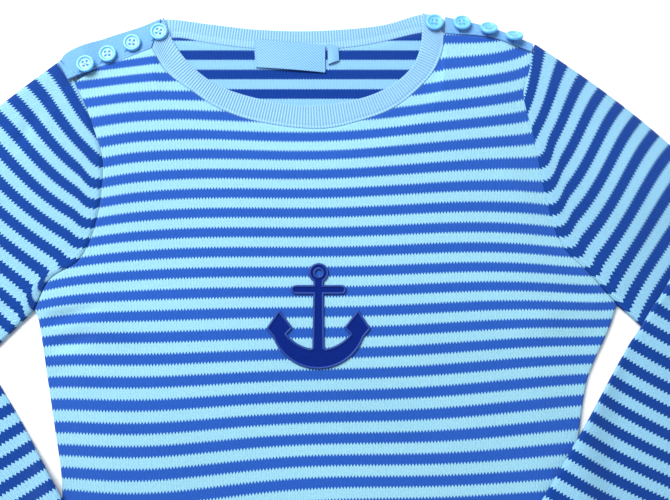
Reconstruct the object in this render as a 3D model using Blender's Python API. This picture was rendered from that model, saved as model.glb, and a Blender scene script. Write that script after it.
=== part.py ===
"""Fine-knit striped sweater laid flat on its back, sleeves folded down over the body.

Plan positions are millimetres on the laying surface: x to the right, y towards the neck.
Every cloth piece is a wall with an outer and an inner face, worked out on a grid.
"""
import math

import bmesh
import bpy
import numpy as np

# Driving dimensions, in millimetres
CLOTH = 1.4                  # thickness of the doubled-up knit wall
SEAM = 0.6                   # space left between two pieces at a seam
EDGE_RADIUS = 1.85           # half height of the folded side edge, outside
PUFF = 2.3                   # how far the front stands off the back in its middle
BODY_WIDTH = 380.0           # hem, laid flat
BAND_THICKNESS = 1.6         # neckbands and shoulder bands
RIB_PITCH = 3.0              # one rib and one groove of the neckbands
RIB_HEIGHT = 0.3
FRONT_BAND = 300.0           # length of the front neckband along its seam
BACK_BAND = 210.0
BAND_BASE = 2.25             # underside of the bands that lie over the back
SLEEVE_CLIMB = 2.9           # rise of the left placket's end over the sleeve head
BUTTON_DIAMETER = 12.7
BUTTON_THICKNESS = 2.4
FOREARM = 425.0              # overarm edge from the fold to the cuff
CUFF_WIDTH = 78.0
LABEL_THICKNESS = 0.8
APPLIQUE_THICKNESS = 1.0
LAYOUT_CENTRE = (-17.43, -110.0)   # plan point that becomes the part's origin

# Spacing and easing, in millimetres
PARTING = 0.3                # between the back and the front at the side edges
STACK_GAP = 0.15             # kept on each side between layers that lie on each other
SIDE_EASE = 45.0             # from a side edge to the full puff
FOLD_EASE = 12.0             # from a side edge to the full height of a soft fold
OVERARM_BOW = 4.5            # the overarm edge stands out this far half way to the elbow
PUFF_UNDER = 2.2             # how far the forearm's upper face swells
ON_BODY = 0.45               # forearm above the top of the front
ARM_RAMP = 22.0              # run over which the forearm comes down off the upper sleeve
BODY_RAMP = 26.0             # run over which it climbs onto the front
EXPOSED_START = 6.0          # the upper sleeve is puffed from here to there past the forearm
EXPOSED_REACH = 30.0
PLACKET_ROLL = 2.0           # how far the right placket rolls down over the shoulder
ROLL_FLOOR = 0.2
LABEL_LEVEL = 2.3
LABEL_LIFT = 0.9             # how far the label's lower edge stands off
HOLE_SPACING = 1.15          # button's holes from its middle, across and along
HOLE_RADIUS = 0.7
APPLIQUE_CLEARANCE = 0.35

# Grid parameters: rows run 0 to 1 from hem to shoulder, columns 0 to 1 across
FRONT_COLUMNS = (4, 23, 5)   # below the left shoulder, the neck and the right shoulder
BACK_COLUMNS = (4, 12, 5)
BODY_ROWS = 12               # from hem to underarm
UNDERARM = 0.62
ARMHOLE_ROWS = np.linspace(UNDERARM, 1, 9)
SHOULDER_STOPS = (0.16, 0.74, 1.0)   # where the shoulder, the neck and the shoulder end
TOP_SHARES = np.linspace(0, 1, 10)   # points across a sleeve, set against the armhole rows
SLEEVE_RINGS = (6, 5, 10)    # rings on the upper arm, round the fold and on the forearm
SHOULDER_COLUMNS = 10        # half the columns of a shoulder band
DENSE_LINE = 40              # a line with this many points is already rounded
FLAT_COSINE = 0.99           # a section point above this share of the radius lies flat

MM = 0.001
FULL_HEIGHT = 2 * EDGE_RADIUS + PARTING   # back and front together at the side edge

# Seam and edge lines in plan, each row a point (x, y)
HEM_LEFT = (-199, -396)
HEM_RIGHT = (179, -396)
SIDE_LEFT = [HEM_LEFT, (-191, -330), (-181, -260), (-175, -200), (-177, -155),
             (-184, -120), (-191, -88), (-199, -52), (-203, -41)]
SIDE_RIGHT = [HEM_RIGHT, (171, -330), (161, -260), (155, -200), (156, -150),
              (161, -117), (165, -98), (170, -82), (184, -55), (191, -38)]
ARMHOLE_LEFT = [(-203, -41), (-194, -21), (-174, -7), (-164, 21), (-162, 60),
                (-170, 86), (-177, 103), (-186, 121)]
ARMHOLE_RIGHT = [(191, -38), (174, -18), (155, 3), (146, 35), (140, 78), (134, 111),
                 (139, 129), (142, 143)]
SHOULDER_LEFT = [(-186, 121), (-169, 132), (-148, 140), (-132, 147)]
SHOULDER_RIGHT = [(79, 158), (105, 156), (119, 153), (142, 143)]
FRONT_NECK = [(-132, 147), (-121, 129), (-103, 115), (-82, 101), (-53, 91), (-12, 86),
              (18, 92), (44, 103), (67, 124), (77, 143), (79, 158)]
BACK_NECK = [(-132, 147), (-117, 156), (-91, 152), (-61, 148), (-25, 147), (4, 148),
             (30, 152), (63, 160), (79, 158)]
NECK_OPENING = [(-125, 172), (-116, 151), (-100, 131), (-77, 116), (-41, 106), (-12, 104),
                (24, 111), (49, 126), (61, 146), (64, 176)]
BACK_BAND_TOP = [(-141, 164), (-124, 171), (-90, 167), (-56, 163), (-15, 162), (32, 166),
                 (64, 175), (80, 171)]

# Each sleeve: shoulder tip and underarm, direction of the upper arm, the fold's point on the
# overarm edge, the fold's direction, and the unit vector towards the underarm edge
SLEEVES = {
    "left": {"tip": (-195, 141), "upper": (-0.69, -0.73), "fold": (-304, 35),
             "crease": (-0.077, -0.997), "armhole": ARMHOLE_LEFT, "side": SIDE_LEFT},
    "right": {"tip": (145, 151), "upper": (0.73, -0.68), "fold": (264, 46),
              "crease": (0.119, -0.993), "armhole": ARMHOLE_RIGHT, "side": SIDE_RIGHT},
}

# Soft folds pressed into the front near the underarms: from, to, height, half width
BODY_FOLDS = [
    {"start": (-190, -40), "end": (-128, -62), "height": 1.6, "half_width": 9},
    {"start": (-186, -70), "end": (-150, -98), "height": 1.2, "half_width": 8},
    {"start": (140, 20), "end": (112, 62), "height": 1.4, "half_width": 8},
]

# Buttons, from the neck outwards: plan place, how far each tips towards the back in degrees,
# and how far its middle stands off the band
LEFT_BUTTONS = [(-127, 159, 0, 0.35), (-146, 151, 0, 0.35), (-164, 143, 0, 0.35),
                (-179, 134, 0, 0.35)]
RIGHT_BUTTONS = [(72, 166, 6, 0.75), (92, 165.5, 16, 0.65), (111, 161, 30, 1.1),
                 (129, 154.5, 40, 2.0)]

COLOURS = {
    "knit": (0.25, 0.50, 0.80), "rib": (0.36, 0.66, 0.90), "button": (0.30, 0.62, 0.92),
    "label": (0.45, 0.74, 0.95), "applique": (0.01, 0.05, 0.38),
}


def smooth(value):
    """Ease from 0 to 1 while the value goes from 0 to 1."""
    t = np.clip(value, 0.0, 1.0)
    return t * t * (3.0 - 2.0 * t)


def rounded_line(points, steps=16):
    """Catmull-Rom curve through the points, as a dense line."""
    points = np.asarray(points, float)
    knots = np.vstack([2 * points[0] - points[1], points, 2 * points[-1] - points[-2]])
    t = np.linspace(0, 1, steps, endpoint=False)[:, None]
    a, b, c, d = (knots[k:len(knots) - 3 + k, None] for k in range(4))
    spans = 0.5 * (2 * b + (c - a) * t + (2 * a - 5 * b + 4 * c - d) * t ** 2
                   + (3 * b - a - 3 * c + d) * t ** 3)
    return np.vstack([spans.reshape(-1, 2), points[-1]])


def moved_line(points, distance):
    """The curve moved sideways, to the left of its direction when distance is positive."""
    return beside(rounded_line(points), distance)


def beside(line, distance):
    """Points of a dense line moved square to it."""
    ahead = np.gradient(line, axis=0)
    ahead /= np.linalg.norm(ahead, axis=1)[:, None]
    return line + distance * np.column_stack([-ahead[:, 1], ahead[:, 0]])


def edge(*runs, stops=(1.0,)):
    """Point of an edge at a parameter 0 to 1; each run is one curve and ends at its stop."""
    parameter, line = [], []
    start = 0.0
    for run, stop in zip(runs, stops):
        dense = rounded_line(run) if len(run) < DENSE_LINE else np.asarray(run, float)
        reach = np.append(0, np.cumsum(np.linalg.norm(np.diff(dense, axis=0), axis=1)))
        parameter.append(start + (stop - start) * reach / reach[-1])
        line.append(dense)
        start = stop
    parameter = np.concatenate(parameter)
    line = np.vstack(line)
    return lambda f: np.stack([np.interp(f, parameter, line[:, k]) for k in (0, 1)], -1)


def panel_plan(bottom, top, left, right):
    """Plan of a panel as a Coons patch: both lofts between its edges less the corner blend."""
    corner = {(i, j): (bottom if j == 0 else top)(np.float64(i)) for i in (0, 1) for j in (0, 1)}

    def plan(u, v):
        across, along = u[..., None], v[..., None]
        lofts = ((1 - along) * bottom(u) + along * top(u)
                 + (1 - across) * left(v) + across * right(v))
        blend = ((1 - across) * (1 - along) * corner[0, 0] + across * (1 - along) * corner[1, 0]
                 + (1 - across) * along * corner[0, 1] + across * along * corner[1, 1])
        return lofts - blend

    return plan


def solid(plan, height):
    """Points from plan positions and heights, in millimetres."""
    return np.concatenate([plan, np.asarray(height)[..., None]], axis=-1)


def placed(points):
    """Layout millimetres to metres about the part's origin."""
    shift = np.array([LAYOUT_CENTRE[0], LAYOUT_CENTRE[1], 0.0])
    return (np.asarray(points).reshape(-1, 3) - shift) * MM


def quads(index):
    """Faces between neighbouring rows and columns of an index grid."""
    return np.stack([index[:-1, :-1], index[:-1, 1:], index[1:, 1:], index[1:, :-1]],
                    axis=-1).reshape(-1, 4)


def add_object(name, points, faces, colour):
    """A named object in the part's collection, with its own material and faces out."""
    mesh = bpy.data.meshes.new(name)
    mesh.from_pydata([tuple(p) for p in points], [], [tuple(int(i) for i in f) for f in faces])
    work = bmesh.new()
    work.from_mesh(mesh)
    bmesh.ops.recalc_face_normals(work, faces=work.faces)
    work.to_mesh(mesh)
    work.free()
    mesh.shade_smooth()
    mesh.set_sharp_from_angle(angle=math.radians(50))
    return link(bpy.data.objects.new(name, mesh), colour)


def link(item, colour):
    """Put an object in the part's collection and give it a material of its own."""
    material = bpy.data.materials.new(item.name + "_finish")
    material.use_nodes = True
    shader = material.node_tree.nodes["Principled BSDF"]
    shader.inputs["Base Color"].default_value = (*COLOURS[colour], 1)
    shader.inputs["Roughness"].default_value = 0.35 if colour == "button" else 0.9
    shader.inputs["Metallic"].default_value = 0.0
    item.data.materials.clear()
    item.data.materials.append(material)
    sweater.objects.link(item)
    return item


def wall(name, outer, inner, colour, tube=False):
    """Closed wall between two grids of the same size; a tube closes along its rows."""
    rows, columns = outer.shape[:2]
    out = np.arange(rows * columns).reshape(rows, columns)
    if tube:
        out = np.column_stack([out, out[:, 0]])
    back = out + rows * columns
    faces = [quads(out), quads(back)]
    rims = [(0, slice(None)), (-1, slice(None))]
    if not tube:
        rims += [(slice(None), 0), (slice(None), -1)]
    for rim in rims:
        faces.append(quads(np.stack([out[rim], back[rim]])))
    points = placed(np.concatenate([outer.reshape(-1, 3), inner.reshape(-1, 3)]))
    return add_object(name, points, np.vstack(faces), colour)


def body_frame(panel_columns):
    """Columns with the quarter-round side edges, and rows, of the body panels."""
    turn = np.radians([0, 45, 90])
    roll = EDGE_RADIUS * (1 - np.cos(turn)) / BODY_WIDTH
    stops = [roll[-1], *SHOULDER_STOPS[:2], 1 - roll[-1]]
    parts = [np.linspace(a, b, n + 1)[:-1] for a, b, n in zip(stops, stops[1:], panel_columns)]
    middle = np.concatenate(parts)[1:]
    u = np.concatenate([roll, middle, 1 - roll[::-1]])
    angle = np.concatenate([turn, np.full(len(middle), np.pi / 2), turn[::-1]])
    v = np.concatenate([np.linspace(0, UNDERARM, BODY_ROWS), ARMHOLE_ROWS[1:]])
    return u, angle, v


def body_plan(neck):
    """Plan of front or back, which differ in the neck line alone."""
    hem = [(HEM_LEFT[0] + (HEM_RIGHT[0] - HEM_LEFT[0]) * k, HEM_LEFT[1]) for k in (0, 0.5, 1)]
    return panel_plan(edge(hem), edge(SHOULDER_LEFT, neck, SHOULDER_RIGHT, stops=SHOULDER_STOPS),
                      edge(SIDE_LEFT, ARMHOLE_LEFT, stops=(UNDERARM, 1.0)),
                      edge(SIDE_RIGHT, ARMHOLE_RIGHT, stops=(UNDERARM, 1.0)))


def armhole_rise(share):
    """Puff kept at the armhole seam, nothing at its two ends."""
    return 0.5 * PUFF * np.sqrt(np.clip(np.sin(np.pi * np.clip(share, 0, 1)), 0, 1))


def front_puff(plan, u, v):
    """How far the front stands off: full in the middle, down to the edges, plus the folds."""
    side = np.minimum(u, 1 - u) * BODY_WIDTH
    kept = armhole_rise((v - UNDERARM) / (1 - UNDERARM))
    rise = kept + (PUFF - kept) * smooth(side / SIDE_EASE)
    rise = rise * smooth((1 - v) * 16) * (0.45 + 0.55 * smooth(v * 12))
    for fold in BODY_FOLDS:
        start = np.array(fold["start"], float)
        run = np.array(fold["end"], float) - start
        along = np.clip(((plan - start) @ run) / (run @ run), 0, 1)
        away = np.linalg.norm(plan - start - along[..., None] * run, axis=-1)
        fade = np.sin(np.pi * (0.15 + 0.85 * along)).clip(0)
        rise = rise + fold["height"] * fade * np.exp(-(away / fold["half_width"]) ** 2) \
            * smooth(side / FOLD_EASE)
    return rise


def body_panel(name, neck, is_front):
    """Front or back: a wall whose side edges turn a quarter round and meet below the arms."""
    plan = body_plan(neck)
    columns, turn, rows = body_frame(FRONT_COLUMNS if is_front else BACK_COLUMNS)
    u, v = np.meshgrid(columns, rows)
    angle = np.meshgrid(turn, rows)[0]
    closed = 1 - smooth((v - UNDERARM) * 12)
    rise = 1 - closed * (1 - np.sin(angle))
    inner_radius = EDGE_RADIUS - CLOTH
    shift = closed * ((EDGE_RADIUS - inner_radius * np.cos(angle))
                      - EDGE_RADIUS * (1 - np.cos(angle))) / BODY_WIDTH
    inner_u = np.where(u < 0.5, u + shift, u - shift)
    middle = FULL_HEIGHT / 2
    puff = front_puff(plan(u, v), u, v) if is_front else np.zeros_like(u)
    way = 1 if is_front else -1
    outer = solid(plan(u, v), middle + way * (PARTING / 2 + EDGE_RADIUS * rise) + puff)
    inner_height = closed * inner_radius * np.sin(angle) + (1 - closed) * inner_radius
    inner = solid(plan(inner_u, v), middle + way * (PARTING / 2 + inner_height) + puff)
    return wall(name, outer, inner, "knit")


def sleeve_keys(side):
    """The four key section lines of a sleeve laid straight: armhole, fold, fold end, cuff."""
    data = SLEEVES[side]
    upper = np.array(data["upper"], float)
    upper /= np.linalg.norm(upper)
    crease = np.array(data["crease"], float)
    crease /= np.linalg.norm(crease)
    hand = -1 if side == "right" else 1
    across = hand * np.array([-upper[1], upper[0]])
    past = -hand * np.array([-crease[1], crease[0]])
    tip, fold = np.array(data["tip"], float), np.array(data["fold"], float)
    rows = edge(data["armhole"])((ARMHOLE_ROWS - UNDERARM) / (1 - UNDERARM))
    arm = beside(rows, SEAM * hand)[::-1]
    underarm = arm[-1]
    # The underarm edge runs parallel to the upper arm until it meets the fold line
    steps = np.linalg.solve(np.column_stack([upper, -crease]), fold - underarm)
    meet = underarm + upper * steps[0]
    bend = math.pi * (FULL_HEIGHT / 2 + STACK_GAP)
    onward = upper * bend / float(upper @ past)
    cuff = fold + upper * FOREARM
    width = (underarm - tip) @ across
    inset = FULL_HEIGHT / 2 / width
    last = arm[-1] + (arm[-2] - arm[-1]) * 0.2
    head = np.vstack([tip, tip * 0.8 + arm[0] * 0.2, arm[:-1], last, arm[-1]])
    knots = np.concatenate([[0], inset + (1 - 2 * inset) * TOP_SHARES, [1]])

    def armhole(w):
        return np.stack([np.interp(w, knots, head[:, k]) for k in (0, 1)], -1)

    keys = [armhole, edge([fold, meet]),
            edge([fold + onward, meet + onward]), edge([cuff, cuff + across * CUFF_WIDTH])]
    return {"keys": keys, "upper": upper, "crease": crease, "across": across, "past": past,
            "fold": fold, "bend": bend, "underarm": underarm, "tip": tip,
            "side": rounded_line(data["side"]), "hand": hand}


def sleeve_plan(sleeve, w, s):
    """Plan of the straight sleeve: w across from the overarm edge, s from key to key."""
    lines = np.stack([key(w) for key in sleeve["keys"]])
    first = np.clip(np.floor(s).astype(int), 0, 2)
    share = (s - first)[..., None]
    take = first[None, ..., None]
    low = np.take_along_axis(lines, take, 0)[0]
    high = np.take_along_axis(lines, take + 1, 0)[0]
    bow = OVERARM_BOW * np.sin(np.pi * np.clip(s, 0, 1)) * (1 - np.clip(w, 0, 1))
    return low * (1 - share) + high * share - bow[..., None] * sleeve["across"]


def folded(sleeve, plan, height):
    """The sleeve bent over its fold: a half turn about the stack, then laid back on top."""
    stack = FULL_HEIGHT + STACK_GAP
    offset = plan - sleeve["fold"]
    past = offset @ sleeve["past"]
    along = offset @ sleeve["crease"]
    theta = np.pi * np.clip(past / sleeve["bend"], 0, 1)
    radius = stack - height
    out = radius * np.sin(theta) + np.minimum(past, 0) - np.maximum(past - sleeve["bend"], 0)
    position = sleeve["fold"] + along[..., None] * sleeve["crease"] \
        + out[..., None] * sleeve["past"]
    over = theta >= np.pi
    bent = stack - radius * np.cos(theta)
    resting = ground(sleeve, position) + radius
    return solid(position, np.where(past <= 0, height, np.where(over, resting, bent)))


def ground(sleeve, position):
    """Height that the folded forearm lies on: the upper sleeve, the floor, then the front."""
    stack = FULL_HEIGHT + STACK_GAP
    below = (position - sleeve["underarm"]) @ sleeve["across"]
    line = sleeve["side"]
    outside = -sleeve["hand"] * (position[..., 0] - np.interp(position[..., 1], line[:, 1],
                                                               line[:, 0]))
    outside = np.where(position[..., 1] > line[-1, 1], 0, outside)
    on_sleeve = (stack + STACK_GAP) * (1 - smooth(below / ARM_RAMP))
    on_body = (FULL_HEIGHT + PUFF + ON_BODY) * (1 - smooth(outside / BODY_RAMP))
    return np.maximum(np.maximum(on_sleeve, on_body) - STACK_GAP, -STACK_GAP)


def sleeve_loop(radius):
    """Section once round: share of width, edge offset and side of each point."""
    flat = np.full(len(TOP_SHARES), np.pi / 2)
    turn = np.radians([45, 0, -45])
    share = np.concatenate([TOP_SHARES, np.ones(3), TOP_SHARES[::-1], np.zeros(3)])
    angle = np.concatenate([flat, turn, -flat, -turn])
    return share, radius * np.cos(angle), radius * np.sin(angle)


def sleeve(side):
    """Set-in sleeve: one closed-round wall, open at armhole and cuff, folded at the elbow."""
    data = sleeve_keys(side)
    s = np.concatenate([key + np.linspace(0, 1, count + 1)[min(key, 1):]
                        for key, count in enumerate(SLEEVE_RINGS)])
    half = FULL_HEIGHT / 2
    surfaces = []
    for radius in (half, half - CLOTH):
        share, reach, lift = sleeve_loop(radius)
        w_grid, s_grid = np.meshgrid(share, s)
        ends = [sleeve_plan(data, np.full_like(s, k), s) for k in (0.0, 1.0)]
        width = ((ends[1] - ends[0]) @ data["across"])[:, None]
        # Straight part between the rounded edges, then the half-round offset
        turning = np.abs(lift) < radius * FLAT_COSINE
        inset = half / width
        w = inset + (1 - 2 * inset) * w_grid \
            + np.where(w_grid > 0.5, 1, -1) * np.where(turning, reach, 0) / width
        plan = sleeve_plan(data, w, s_grid)
        bump = np.sqrt(np.clip(np.sin(np.pi * np.clip(w, 0, 1)), 0, 1))
        upper_side = lift > radius * FLAT_COSINE
        lower_side = lift < -radius * FLAT_COSINE
        puff_top = armhole_rise(w_grid) * (1 + 0.5 * smooth(s_grid * 3)) \
            * exposed(data, plan) * (s_grid <= 1)
        puff_low = PUFF_UNDER * bump * smooth(s_grid - 2.05) * (s_grid > 2)
        height = half + lift + np.where(upper_side, puff_top, 0) \
            - np.where(lower_side, puff_low, 0)
        surfaces.append(folded(data, plan, height))
    return wall("sleeve_" + side, surfaces[0], surfaces[1], "knit", tube=True)


def exposed(data, plan):
    """Nothing where the forearm lies on the upper sleeve, full where it is clear of it."""
    crease = data["crease"]
    forearm = 2 * (data["upper"] @ crease) * crease - data["upper"]
    sideways = np.array([-forearm[1], forearm[0]])
    sideways *= np.sign((data["tip"] - data["fold"]) @ sideways)
    return smooth(((plan - data["fold"]) @ sideways - EXPOSED_START) / EXPOSED_REACH)


def band(name, low, high, base, ribs, ribbed=False, drop=None):
    """Flat band between two lines, ribs raised on its face; drop rounds it over an edge."""
    steps = 2 * ribs
    f = np.linspace(0, 1, steps + 1)
    rounds = np.array([0.0, 1.0]) if drop is None else np.radians([0, 25, 50, 68, 80])
    span = rounds if drop is None else np.sin(rounds) / np.sin(rounds[-1])
    plan = low(f)[:, None] * (1 - span)[None, :, None] + high(f)[:, None] * span[None, :, None]
    raised = RIB_HEIGHT * (np.arange(steps + 1) % 2)[:, None] if ribbed else 0.0
    level = base(plan)
    if drop is not None:
        level = level - drop * (1 - np.cos(rounds))[None, :]
    outer = solid(plan, level + BAND_THICKNESS + raised)
    inner_plan = plan
    if drop is not None:
        inward = (low(f) - high(f))
        inward /= np.linalg.norm(inward, axis=1)[:, None]
        inner_plan = plan + inward[:, None] * (CLOTH * np.sin(rounds))[None, :, None]
        level = np.maximum(level, ROLL_FLOOR)
    inner = solid(inner_plan, level)
    return wall(name, outer, inner, "rib")


def even(height):
    """A level that is the same along the whole band."""
    return lambda plan: np.full(plan.shape[:-1], height)


def over_sleeve(plan):
    """Level of the left placket, which climbs over the sleeve head at its free end."""
    return BAND_BASE + SLEEVE_CLIMB * smooth((-166 - plan[..., 0]) / 16)


def neckbands():
    """Ribbed neckbands: the back one under, the front one over it at both shoulders."""
    front_seam = edge(moved_line(FRONT_NECK, SEAM))
    opening = edge(NECK_OPENING)
    band("neckband_front", front_seam, opening, even(BAND_BASE), int(FRONT_BAND / RIB_PITCH), True)
    band("neckband_back", edge(moved_line(BACK_NECK, SEAM)), edge(BACK_BAND_TOP), even(0.0),
         int(BACK_BAND / RIB_PITCH), True)


def shoulder_bands():
    """Buttonhole placket on the front shoulder, button stand on the back one."""
    left_low = edge(moved_line([(-190, 122), (-169, 132), (-148, 140), (-133, 146.5)], SEAM))
    left_high = edge([(-197, 136), (-190, 144), (-166, 155), (-142, 163.5)])
    band("placket_left", left_low, left_high, over_sleeve, SHOULDER_COLUMNS)
    stand_low = edge(moved_line([(-184, 122.2), (-169, 132), (-148, 140), (-133.5, 146.4)], SEAM))
    stand_high = edge([(-189.5, 140.5), (-166, 153), (-142.5, 162)])
    band("button_stand_left", stand_low, stand_high, even(0.0), SHOULDER_COLUMNS)
    right_low = edge([(80.6, 158.7), (105, 156.7), (119, 153.7), (140.5, 144.5)])
    right_high = edge([(82, 172.6), (100, 168), (117, 163), (142, 152)])
    band("placket_right", right_low, right_high, even(BAND_BASE + 0.1), SHOULDER_COLUMNS,
         drop=PLACKET_ROLL)
    stand_high = edge([(82, 165), (100, 162.5), (117, 157.8), (141, 147.5)])
    band("button_stand_right", right_low, stand_high, even(0.0), SHOULDER_COLUMNS)


def turned(profile, name, segments):
    """Closed turned shape: the profile's rings about Z, closed on the axis at both ends."""
    work = bmesh.new()
    rings = [work.verts.new((r * MM, 0, z * MM)) for r, z in profile]
    spokes = [work.edges.new(pair) for pair in zip(rings, rings[1:])]
    bmesh.ops.spin(work, geom=rings + spokes, cent=(0, 0, 0), axis=(0, 0, 1),
                   angle=2 * math.pi, steps=segments, use_merge=False)
    bmesh.ops.remove_doubles(work, verts=work.verts, dist=1e-6)
    bmesh.ops.recalc_face_normals(work, faces=work.faces)
    mesh = bpy.data.meshes.new(name)
    work.to_mesh(mesh)
    work.free()
    return mesh


def button_mesh():
    """Four-hole shirt button: flat back, raised rim, dished middle, four drilled holes."""
    r, h = BUTTON_DIAMETER / 2, BUTTON_THICKNESS
    profile = [(0, 0), (r - 0.6, 0), (r, 0.7), (r - 0.1, h - 0.4), (r - 0.7, h),
               (r - 1.6, h - 0.1), (r - 2.2, h - 0.8), (0, h - 0.9)]
    blank = bpy.data.objects.new("button_blank", turned(profile, "button_blank", 16))
    cutters.objects.link(blank)
    work = bmesh.new()
    for x in (-1, 1):
        for y in (-1, 1):
            drill = bmesh.ops.create_cone(work, cap_ends=True, segments=6,
                                          radius1=HOLE_RADIUS * MM, radius2=HOLE_RADIUS * MM,
                                          depth=4 * h * MM)
            bmesh.ops.translate(work, verts=drill["verts"],
                                vec=(HOLE_SPACING * x * MM, HOLE_SPACING * y * MM, 0))
    drills = bpy.data.meshes.new("button_drills")
    work.to_mesh(drills)
    work.free()
    cutter = bpy.data.objects.new("button_drills", drills)
    cutter.hide_render = True
    cutter.display_type = "WIRE"
    cutters.objects.link(cutter)
    cut = blank.modifiers.new("thread_holes", "BOOLEAN")
    cut.object = cutter
    bpy.context.view_layer.update()
    mesh = bpy.data.meshes.new_from_object(blank.evaluated_get(
        bpy.context.evaluated_depsgraph_get()))
    bpy.data.objects.remove(blank)
    mesh.shade_smooth()
    mesh.set_sharp_from_angle(angle=math.radians(35))
    return mesh


def buttons():
    """Four buttons a shoulder, each seated on its band and tipped as the band is."""
    shape = button_mesh()
    for side, table in (("left", LEFT_BUTTONS), ("right", RIGHT_BUTTONS)):
        for number, (x, y, tip, lift) in enumerate(table, 1):
            reach = BUTTON_DIAMETER / 2 if side == "left" else 0
            base = BAND_THICKNESS + RIB_HEIGHT + over_sleeve(np.array([x - reach, y]))
            button = bpy.data.objects.new("button_%s_%d" % (side, number), shape.copy())
            button.location = placed([(x, y, float(base) + lift)])[0]
            button.rotation_euler = (-math.radians(tip), 0, 0)
            link(button, "button")


def labels():
    """Woven neck label and size tab, lying on the back inside the neck."""
    for name, corners in (
            ("neck_label", [(-57, 133), (-7, 129), (-7, 150), (-59, 155)]),
            ("size_tab", [(-5, 135), (3, 138), (2.4, 149), (-5.5, 151)])):
        low, high = edge([corners[0], corners[1]]), edge([corners[3], corners[2]])
        f = np.linspace(0, 1, 7)
        span = np.linspace(0, 1, 4)
        plan = low(f)[None] * (1 - span)[:, None, None] + high(f)[None] * span[:, None, None]
        lift = LABEL_LEVEL + LABEL_LIFT * (1 - span)[:, None] * np.sin(np.pi * f)[None] ** 2
        wall(name, solid(plan, lift + LABEL_THICKNESS), solid(plan, lift), "label")


def anchor_outline(x, y):
    """Outline of a plain anchor, half by half: ring, rounded stock, shank, arms and flukes."""
    ring_centre, ring = 63.0, 6.0
    arm_centre, arm = 31.0, 30.0
    half = []
    for angle in np.radians(np.linspace(90, -62, 9)):
        half.append((ring * math.cos(angle), ring_centre + ring * math.sin(angle)))
    half += [(2.6, 54), (15, 54)]
    for angle in np.radians([60, 20, -20, -60]):
        half.append((15.5 + 2.4 * math.cos(angle), 51.6 + 2.4 * math.sin(angle)))
    half += [(15, 49.2), (2.8, 49.2), (3.3, 12)]
    for angle in np.radians([-72, -58, -44, -32]):
        half.append(((arm - 5.5) * math.cos(angle), arm_centre + (arm - 5.5) * math.sin(angle)))
    half += [(16.5, 18.5), (30.5, 31.5), (31.5, 13)]
    for angle in np.radians([-38, -52, -66, -80]):
        half.append((arm * math.cos(angle), arm_centre + arm * math.sin(angle)))
    half.append((0.0, -0.5))
    mirrored = [(-px, py) for px, py in half[-2:0:-1]]
    return [(x + px, y + py) for px, py in half + mirrored]


def applique():
    """Dark blue cloth anchor stitched on the chest: a flat outline with thickness."""
    base = (-11.0, -80.0)
    hole = [(base[0] + 3.1 * math.cos(a), base[1] + 63 + 3.1 * math.sin(a))
            for a in np.linspace(0, 2 * math.pi, 12, endpoint=False)]
    curve = bpy.data.curves.new("applique_anchor", "CURVE")
    curve.dimensions = "2D"
    curve.fill_mode = "BOTH"
    curve.extrude = APPLIQUE_THICKNESS / 2 * MM
    for outline in (anchor_outline(*base), hole):
        spline = curve.splines.new("POLY")
        spline.points.add(len(outline) - 1)
        flat = placed([(px, py, 0) for px, py in outline])
        for point, place in zip(spline.points, flat):
            point.co = (*place, 1)
        spline.use_cyclic_u = True
    shape = bpy.data.objects.new("applique_curve", curve)
    cutters.objects.link(shape)
    bpy.context.view_layer.update()
    mesh = bpy.data.meshes.new_from_object(shape.evaluated_get(
        bpy.context.evaluated_depsgraph_get()))
    bpy.data.objects.remove(shape)
    work = bmesh.new()
    work.from_mesh(mesh)
    bmesh.ops.remove_doubles(work, verts=work.verts, dist=1e-6)
    bmesh.ops.recalc_face_normals(work, faces=work.faces)
    work.to_mesh(mesh)
    work.free()
    anchor = bpy.data.objects.new("applique_anchor", mesh)
    height = FULL_HEIGHT + PUFF + APPLIQUE_CLEARANCE + APPLIQUE_THICKNESS / 2
    anchor.location = (0, 0, height * MM)
    link(anchor, "applique")


for item in list(bpy.data.objects):
    bpy.data.objects.remove(item, do_unlink=True)
sweater = bpy.data.collections.new("striped_sweater")
cutters = bpy.data.collections.new("cutters")
bpy.context.scene.collection.children.link(sweater)
bpy.context.scene.collection.children.link(cutters)

body_panel("body_back", BACK_NECK, False)
body_panel("body_front", FRONT_NECK, True)
sleeve("left")
sleeve("right")
neckbands()
shoulder_bands()
buttons()
labels()
applique()
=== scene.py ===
"""Fine-knit striped sweater laid flat on its back on a pale table, seen from above the chest.

Plan positions are millimetres on the table: x to the right, y towards the neck.
"""
import math

import bmesh
import bpy
import numpy as np

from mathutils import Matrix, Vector


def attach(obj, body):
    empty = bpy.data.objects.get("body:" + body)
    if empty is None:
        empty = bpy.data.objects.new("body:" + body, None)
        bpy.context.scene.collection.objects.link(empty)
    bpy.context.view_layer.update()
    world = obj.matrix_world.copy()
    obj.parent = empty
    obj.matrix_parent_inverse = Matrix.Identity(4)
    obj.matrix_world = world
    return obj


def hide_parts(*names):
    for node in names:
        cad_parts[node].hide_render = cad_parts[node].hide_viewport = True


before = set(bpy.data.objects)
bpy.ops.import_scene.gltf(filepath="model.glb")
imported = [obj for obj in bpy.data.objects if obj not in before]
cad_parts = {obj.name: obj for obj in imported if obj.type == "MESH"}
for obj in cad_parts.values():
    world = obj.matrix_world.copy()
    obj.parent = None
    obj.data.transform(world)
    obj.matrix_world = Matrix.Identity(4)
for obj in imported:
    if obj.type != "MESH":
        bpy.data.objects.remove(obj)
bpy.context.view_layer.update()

# The table, the light and the camera
# A plain white table top under a large soft window light from the upper left and a pale sky,
# seen from almost straight above the chest.
MM = 0.001
ORIGIN = np.array([-17.43, -110.0, 0.0])   # plan point that is the part's origin
TABLE_HALF = 2500.0
TABLE_DROP = 0.15                          # the table lies just under the cloth
WINDOW_PLACE = (-620.0, 760.0, 1250.0)
WINDOW_SIZE = 900.0
WINDOW_POWER = 37.0
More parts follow.
